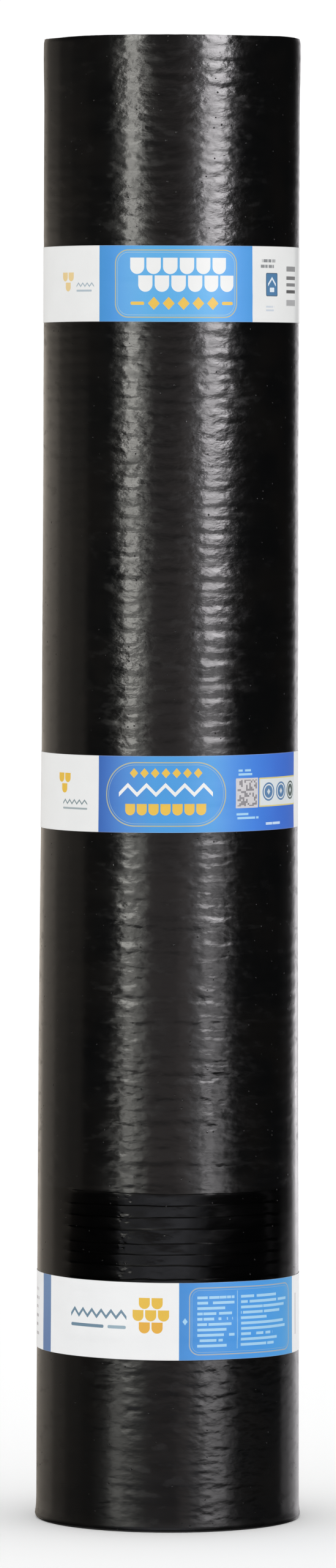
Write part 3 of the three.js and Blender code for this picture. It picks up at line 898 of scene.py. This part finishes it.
def build_band(name, sheet=0.12, clear=0.05):
    low, high, tilt, droop = BANDS[name]
    rows = np.linspace(low, high, 29)
    start = math.radians(62.0)
    angles = np.linspace(start, start + 2 * math.pi + math.radians(11.0), 250)
    # finer columns where the paper crosses the step
    angles = np.sort(np.append(angles, FREE_END + np.radians([-1.0, -0.5, -0.2, -0.02, 0.02, 0.3, 0.8])))
    seed = {"upper": 31, "middle": 32, "lower": 33}[name]
    # the felt's own relief under the band, and the crests near each point
    heights = np.arange(low - 14.0, high + 14.5, 0.5)
    back_at = ((FREE_END - angles) / (2 * math.pi)) % 1.0
    under = [relief((R_NOMINAL * (FREE_END - 2 * math.pi * back_at + math.pi / 2) + du)[:, None], heights[None, :]) for du in (-3.5, -1.8, 0, 1.8, 3.5)]
    under = np.max(under, axis=0)
    crest = np.max([np.roll(under, k, axis=1) for k in range(-12, 13)], axis=0)
    outer, inner, uv = [], [], []
    for column, a in enumerate(angles):
        u = R_NOMINAL * (a - 2 * math.pi + math.pi / 2) + 0 * rows
        wave = 0.20 * smooth_noise(seed + 3, u + 900, 0 * rows, 60, 50)
        side = tilt * math.sin(a + math.pi / 2) + droop * float(sstep(0.42, 1.0, math.sin(a + math.pi / 2)))
        z = rows + wave + side
        r, back = surface_radius(a, z)
        # past the free end the paper runs straight from the step down to the turn below
        past = (1.0 - back) * 2 * math.pi
        r_low = turn_radius(1.0, rows)
        r_high = turn_radius(0.0, rows) + free_end_lift(0.0, rows)
        touch = np.arccos(np.clip(r_low / r_high, -1, 1)) * 1.0
        chord = np.where(past < touch, r_low / np.cos(np.clip(touch - past, 0, 1.2)), 0.0)
        r = np.maximum(r, chord)
        over = sstep(start + 2 * math.pi - 0.10, start + 2 * math.pi - 0.005, a)
        slack = 0.05 * (1 + smooth_noise(seed, u + 900, rows, 42, 30)) + 0.02 * (1 + smooth_noise(seed + 9, u + 900, rows, 11, 16))
        bed = np.interp(z, heights, crest[column])
        r = r + clear + slack + bed + over * (sheet + 0.16)
        outer.append(place(r + sheet, a, z))
        inner.append(place(r, a, z))
        uv.append(np.stack([u, rows], -1) / 1000.0)
    outer, inner, uv = np.array(outer), np.array(inner), np.array(uv)
    nc, nr = outer.shape[:2]
    verts = np.concatenate([outer.reshape(-1, 3), inner.reshape(-1, 3)])
    idx = np.arange(nc * nr).reshape(nc, nr)
    off = nc * nr
    tris, uvs = [], []

    def quad(a, b, c, d, ua, ub, uc, ud):
        tris.append(np.stack([a, b, c], -1).reshape(-1, 3)); uvs.append(np.stack([ua, ub, uc], -2).reshape(-1, 3, 2))
        tris.append(np.stack([a, c, d], -1).reshape(-1, 3)); uvs.append(np.stack([ua, uc, ud], -2).reshape(-1, 3, 2))

    a, b, c, d = idx[:-1, :-1], idx[1:, :-1], idx[1:, 1:], idx[:-1, 1:]
    ua, ub, uc, ud = uv[:-1, :-1], uv[1:, :-1], uv[1:, 1:], uv[:-1, 1:]
    quad(a, b, c, d, ua, ub, uc, ud)
    n_print = sum(len(t) for t in tris)
    quad(a + off, d + off, c + off, b + off, ua, ud, uc, ub)
    for row in (0, nr - 1):
        p, q, up, uq = idx[:-1, row], idx[1:, row], uv[:-1, row], uv[1:, row]
        if row == 0:
            quad(p, p + off, q + off, q, up, up, uq, uq)
        else:
            quad(p, q, q + off, p + off, up, uq, uq, up)
    for col in (0, nc - 1):
        p, q, up, uq = idx[col, :-1], idx[col, 1:], uv[col, :-1], uv[col, 1:]
        if col == 0:
            quad(p, q, q + off, p + off, up, uq, uq, up)
        else:
            quad(p, p + off, q + off, q, up, up, uq, uq)
    tris, uvs = np.concatenate(tris), np.concatenate(uvs)
    mats = np.ones(len(tris), int)
    mats[:n_print] = 0
    return verts, tris, uvs, mats


def bare_paper_material():
    n = Nodes("paper_back")
    fibre = n.noise(n.vector(n.u, n.v, 9.0), 700.0, 3.0, 0.6)
    colour = n.mix(fibre, (0.66, 0.66, 0.64), (0.78, 0.78, 0.77))
    return n.set(color=colour, rough=n.add(0.6, n.mul(fibre, 0.2)), normal=n.bump(fibre, 0.00003), ior=1.45)


# -------------------------------------------------------------------- pieces

film, edge_mat, mineral = film_material(), cut_edge_material(), mineral_material()
verts, tris, uvs, mats = build_felt()
felt = make_mesh("felt_sheet", verts, tris, uvs, mats, [film, edge_mat, mineral], 30.0)
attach(felt, "root")
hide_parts("felt_roll")

paper_back = bare_paper_material()
for key in ("upper", "middle", "lower"):
    verts, tris, uvs, mats = build_band(key)
    band = make_mesh("paper_band_" + key, verts, tris, uvs, mats, [paper_material(key), paper_back], 40.0)
    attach(band, "root")
    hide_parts("label_band_" + key)

# --------------------------------------------------------------------- stage


def floor_material():
    n = Nodes("studio_floor")
    grain = n.noise(n.vector(n.u, n.v, 0.0), 3.0, 3.0)
    colour = n.mix(grain, (0.985, 0.985, 0.985), (0.995, 0.995, 0.995))
    return n.set(color=colour, rough=0.9, spec=0.0)


def make_floor():
    size = 220.0
    v = np.array([(-size, -size, 0), (size, -size, 0), (size, size, 0), (-size, size, 0)], float)
    t = np.array([(0, 1, 2), (0, 2, 3)])
    uv = v[t][:, :, :2]
    floor = make_mesh("floor", v, t, uv, np.zeros(2, int), [floor_material()])
    floor.visible_glossy = False
    floor.visible_shadow = False


make_floor()

world = bpy.data.worlds.new("studio")
bpy.context.scene.world = world
world.use_nodes = True
wt = world.node_tree
wt.nodes.clear()
w_out = wt.nodes.new("ShaderNodeOutputWorld")
w_mix = wt.nodes.new("ShaderNodeMixShader")
w_path = wt.nodes.new("ShaderNodeLightPath")
w_white = wt.nodes.new("ShaderNodeBackground")
w_dark = wt.nodes.new("ShaderNodeBackground")
w_white.inputs[0].default_value = (1, 1, 1, 1)
w_white.inputs[1].default_value = 1.03
w_dark.inputs[0].default_value = (1.0, 0.98, 0.95, 1)
w_dark.inputs[1].default_value = 0.008
wt.links.new(w_path.outputs["Is Glossy Ray"], w_mix.inputs[0])
wt.links.new(w_white.outputs[0], w_mix.inputs[1])
wt.links.new(w_dark.outputs[0], w_mix.inputs[2])
wt.links.new(w_mix.outputs[0], w_out.inputs[0])
world.cycles.sampling_method = "NONE"


def panel(name, start, end, levels, colour=(1, 1, 1), distance=2.3, soft=2.5):
    """A tall soft light that only gloss picks up, standing on a circle round the roll.
    It spans two azimuths in degrees, 0 being in front of the roll (-Y) and positive to the right,
    and fades out across them, over 'soft' degrees either way, into the next one.
    levels lists (height, radiance) from its lower end to its upper end."""
    a = math.radians((start + end) / 2)
    width = 2 * distance * math.tan(math.radians((end - start) / 2 + soft))
    full = 2 * distance * math.tan(math.radians((end - start) / 2 - soft))
    low, high = levels[0][0], levels[-1][0]
    most = max(v for _, v in levels)
    light = bpy.data.lights.new(name, "AREA")
    light.shape = "RECTANGLE"
    light.size, light.size_y = width, high - low
    light.energy = most * math.pi * width * (high - low)
    light.color = colour
    light.use_nodes = True
    t = light.node_tree
    emit = next(n for n in t.nodes if n.type == "EMISSION")
    geo = t.nodes.new("ShaderNodeNewGeometry")
    split = t.nodes.new("ShaderNodeSeparateXYZ")
    t.links.new(geo.outputs["Position"], split.inputs[0])
    span = t.nodes.new("ShaderNodeMapRange")
    t.links.new(split.outputs[2], span.inputs[0])
    span.inputs[1].default_value, span.inputs[2].default_value = low, high
    ramp = t.nodes.new("ShaderNodeValToRGB")
    t.links.new(span.outputs[0], ramp.inputs[0])
    ramp.color_ramp.interpolation = "LINEAR"
    stops = ramp.color_ramp.elements
    while len(stops) > 1:
        stops.remove(stops[-1])
    for k, (z, v) in enumerate(levels):
        stop = stops[0] if k == 0 else stops.new((z - low) / (high - low))
        stop.position = (z - low) / (high - low)
        stop.color = (v / most, v / most, v / most, 1.0)
    # how far across the panel, from its middle: the fade at its two sides
    dot = t.nodes.new("ShaderNodeVectorMath")
    dot.operation = "DOT_PRODUCT"
    t.links.new(geo.outputs["Position"], dot.inputs[0])
    dot.inputs[1].default_value = (math.cos(a), math.sin(a), 0.0)
    off = t.nodes.new("ShaderNodeMath")
    off.operation = "ABSOLUTE"
    t.links.new(dot.outputs["Value"], off.inputs[0])
    fade = t.nodes.new("ShaderNodeMapRange")
    t.links.new(off.outputs[0], fade.inputs[0])
    for k, v in ((1, full / 2), (2, width / 2), (3, 1.0), (4, 0.0)):
        fade.inputs[k].default_value = v
    both = t.nodes.new("ShaderNodeMath")
    both.operation = "MULTIPLY"
    t.links.new(ramp.outputs[0], both.inputs[0])
    t.links.new(fade.outputs[0], both.inputs[1])
    t.links.new(both.outputs[0], emit.inputs["Strength"])
    ob = bpy.data.objects.new(name, light)
    place_at = Vector((math.sin(a) * distance, -math.cos(a) * distance, (low + high) / 2))
    ob.location = place_at
    ob.rotation_euler = Vector((-place_at.x, -place_at.y, 0)).to_track_quat("-Z", "Y").to_euler()
    ob.visible_diffuse = False
    ob.visible_camera = False
    bpy.context.scene.collection.objects.link(ob)
    return ob


WARM, COOL, FAINT_BLUE = (1.01, 1.0, 0.94), (1.03, 1.0, 1.03), (0.97, 0.98, 1.08)
FILL, FLANK = (1.13, 1.0, 0.99), (1.12, 1.0, 0.86)
# the two main lights, in front at the left and the right, each with dimmer wings
panel("left_main", -40, -30, [(-0.36, 0.1), (-0.28, 0.68), (-0.2, 0.85), (-0.12, 1.3), (0.1, 5.6), (0.25, 2.7), (0.38, 1.9), (0.53, 7.8), (0.66, 10.6), (0.8, 9.2), (1.0, 6.9), (1.3, 9.4), (1.9, 13.0), (2.4, 13.0)], WARM)
panel("left_wing", -30, -20, [(-0.36, 0.1), (-0.28, 0.28), (-0.1, 0.5), (0.1, 2.2), (0.28, 1.8), (0.5, 1.5), (0.72, 3.1), (0.86, 2.3), (0.95, 1.3), (1.04, 0.3), (2.9, 0.4)], WARM)
panel("left_low", -50, -40, [(-0.36, 0.4), (-0.3, 2.05), (-0.2, 2.55), (-0.12, 2.1), (-0.02, 0.6), (0.06, 0.12), (0.3, 0.06), (0.7, 0.50), (1.1, 0.68), (2.9, 0.65)], WARM)
panel("left_outer", -55, -50, [(-0.36, 0.3), (-0.3, 0.8), (-0.22, 0.75), (-0.15, 0.42), (0.0, 0.03), (0.1, 0.0)], WARM)
panel("left_outer_edge", -60, -55, [(-0.36, 0.2), (-0.3, 0.42), (-0.22, 0.36), (-0.15, 0.18), (0.0, 0.01), (0.1, 0.0)], WARM)
panel("left_outer_far", -66, -60, [(-0.36, 0.02), (-0.3, 0.09), (-0.22, 0.1), (-0.15, 0.06), (0.0, 0.0), (0.1, 0.0)], WARM)
panel("right_main", 30, 40, [(-0.36, 0.2), (-0.28, 1.9), (-0.15, 2.75), (0.1, 4.8), (0.25, 1.8), (0.4, 1.6), (0.5, 5.8), (0.66, 10.4), (0.8, 9.2), (1.0, 10.0), (1.5, 13.0), (2.0, 16.0), (2.4, 16.0)], COOL)
panel("right_main_outer", 40, 50, [(-0.36, 0.2), (-0.28, 2.2), (-0.15, 3.15), (0.05, 2.5), (0.25, 1.3), (0.4, 1.0), (0.55, 2.2), (0.7, 3.6), (0.78, 5.2), (0.9, 9.6), (1.0, 14.0), (1.5, 16.0), (2.0, 17.0), (2.4, 17.0)], COOL)
panel("right_wing", 20, 30, [(-0.36, 0.3), (-0.28, 0.7), (0.1, 1.15), (0.55, 1.1), (0.75, 2.1), (0.9, 1.4), (1.0, 1.0), (2.9, 1.0)], COOL)
panel("right_low", 50, 55, [(-0.36, 0.3), (-0.28, 1.25), (-0.15, 1.25), (0.0, 0.55), (0.3, 0.14), (0.5, 0.14), (0.75, 0.8), (1.0, 0.5), (2.9, 0.5)], COOL)
panel("right_low_edge", 55, 61, [(-0.36, 0.2), (-0.28, 0.55), (-0.15, 0.55), (0.0, 0.22), (0.3, 0.09), (0.5, 0.09), (0.75, 0.36), (1.0, 0.18), (2.9, 0.18)], COOL)
panel("right_foot", 61, 80, [(-0.36, 0.10), (-0.28, 0.13), (-0.2, 0.11), (-0.12, 0.05), (-0.05, 0.0)], COOL)
panel("right_foot_mid", 80, 99, [(-0.36, 0.06), (-0.28, 0.08), (-0.2, 0.06), (-0.12, 0.02), (-0.05, 0.0)], COOL)
panel("right_foot_far", 99, 118, [(-0.36, 0.05), (-0.28, 0.06), (-0.2, 0.05), (-0.12, 0.02), (-0.05, 0.0)], COOL)
# weak fill from the front
panel("fill", -20, 10, [(-0.36, 0.1), (-0.2, 0.17), (-0.12, 0.2), (0.0, 0.4), (0.2, 0.46), (0.5, 0.37), (0.75, 0.29), (1.1, 0.12), (2.9, 0.12)], FILL)
panel("fill_right", 10, 20, [(-0.36, 0.2), (-0.2, 0.45), (0.2, 0.70), (0.55, 0.55), (0.75, 0.52), (1.0, 0.30), (2.9, 0.3)], FILL)
panel("left_gap", -80, -60, [(-0.36, 0.05), (-0.25, 0.11), (-0.15, 0.05), (0.0, 0.0), (0.4, 0.01), (0.6, 0.05), (0.8, 0.05), (1.0, 0.02), (2.9, 0.02)], FLANK)
# light thrown up by the floor in front
for k, (start, end, level) in enumerate(((-42, -20, 0.42), (-20, 2, 0.60), (2, 18, 0.66), (18, 28, 0.38), (28, 36, 0.18))):
    panel("floor_bounce_%d" % k, start, end, [(-1.7, level), (-0.46, level), (-0.38, 0.0)], FAINT_BLUE)
# sheen on the left flank and along both rims
panel("flank_left", -100, -80, [(-0.8, 0.02), (-0.36, 0.03), (-0.2, 0.13), (0.15, 0.14), (0.5, 0.24), (0.72, 0.21), (0.86, 0.1), (1.0, 0.045), (1.3, 0.045), (1.7, 0.0)], FLANK)
panel("flank_left_mid", -120, -100, [(-0.8, 0.04), (-0.4, 0.05), (-0.2, 0.26), (0.1, 0.18), (0.5, 0.30), (0.7, 0.34), (0.86, 0.17), (1.0, 0.075), (1.3, 0.075), (1.7, 0.0)], FLANK)
panel("flank_left_far", -150, -120, [(-0.8, 0.16), (-0.4, 0.2), (-0.2, 0.42), (0.1, 0.38), (0.5, 0.50), (0.72, 0.60), (0.86, 0.36), (1.0, 0.165), (1.3, 0.165), (1.7, 0.0)], FLANK)
panel("rim_left", -172, -150, [(-0.8, 0.33), (-0.2, 0.34), (0.0, 0.70), (0.27, 0.75), (0.5, 0.45), (0.75, 0.66), (1.0, 0.3), (1.3, 0.3), (1.7, 0.0)], FLANK)
panel("rim_right_edge", 160, 175, [(-0.8, 0.95), (-0.3, 0.8), (-0.15, 0.85), (0.0, 1.3), (0.12, 1.0), (0.55, 1.1), (0.72, 1.25), (1.0, 0.7), (1.3, 0.7), (1.7, 0.0)], COOL)
panel("rim_right", 150, 160, [(-0.8, 0.6), (-0.45, 0.65), (-0.3, 0.88), (-0.15, 1.1), (0.0, 1.9), (0.12, 2.4), (0.27, 1.6), (0.55, 1.15), (0.72, 0.9), (1.0, 0.16), (1.3, 0.16), (1.7, 0.0)], COOL)
panel("rim_right_inner", 142, 150, [(-0.8, 0.25), (-0.45, 0.35), (-0.3, 0.8), (-0.15, 0.84), (0.0, 1.0), (0.12, 1.15), (0.27, 0.5), (0.55, 0.1), (0.72, 0.06), (1.0, 0.02), (1.3, 0.02), (1.7, 0.0)], COOL)
panel("flank_right_low", 132, 142, [(-0.8, 0.1), (-0.42, 0.15), (-0.3, 0.65), (-0.15, 0.6), (0.0, 0.16), (0.12, 0.11), (0.27, 0.05), (0.55, 0.01), (1.0, 0.005)], COOL)
panel("flank_right_side", 118, 132, [(-0.42, 0.01), (-0.3, 0.36), (-0.15, 0.36), (-0.02, 0.03), (0.12, 0.02), (0.5, 0.01)], COOL)

scene = bpy.context.scene
scene.view_settings.view_transform = "Standard"
scene.view_settings.look = "None"

# -------------------------------------------------------------------- camera

DISTANCE, FOCAL_PX, EYE = 5.8404, 14102.8, 0.75346
PITCH_DOWN, ROLL, OFFSET_PX = math.radians(2.5088), math.radians(0.185), 1.84
cam = bpy.data.cameras.new("camera")
cam.sensor_fit = "AUTO"
cam.sensor_width = 36.0
cam.lens = FOCAL_PX / 2560.0 * 36.0
cam_ob = bpy.data.objects.new("camera", cam)
turn = math.atan(OFFSET_PX / FOCAL_PX)
cam_ob.matrix_world = (
    Matrix.Translation((0.0, -DISTANCE, EYE))
    @ Matrix.Rotation(turn, 4, "Z")
    @ Matrix.Rotation(math.pi / 2 - PITCH_DOWN, 4, "X")
    @ Matrix.Rotation(ROLL, 4, "Z")
)
cam.clip_end = 500.0
scene.collection.objects.link(cam_ob)
scene.camera = cam_ob
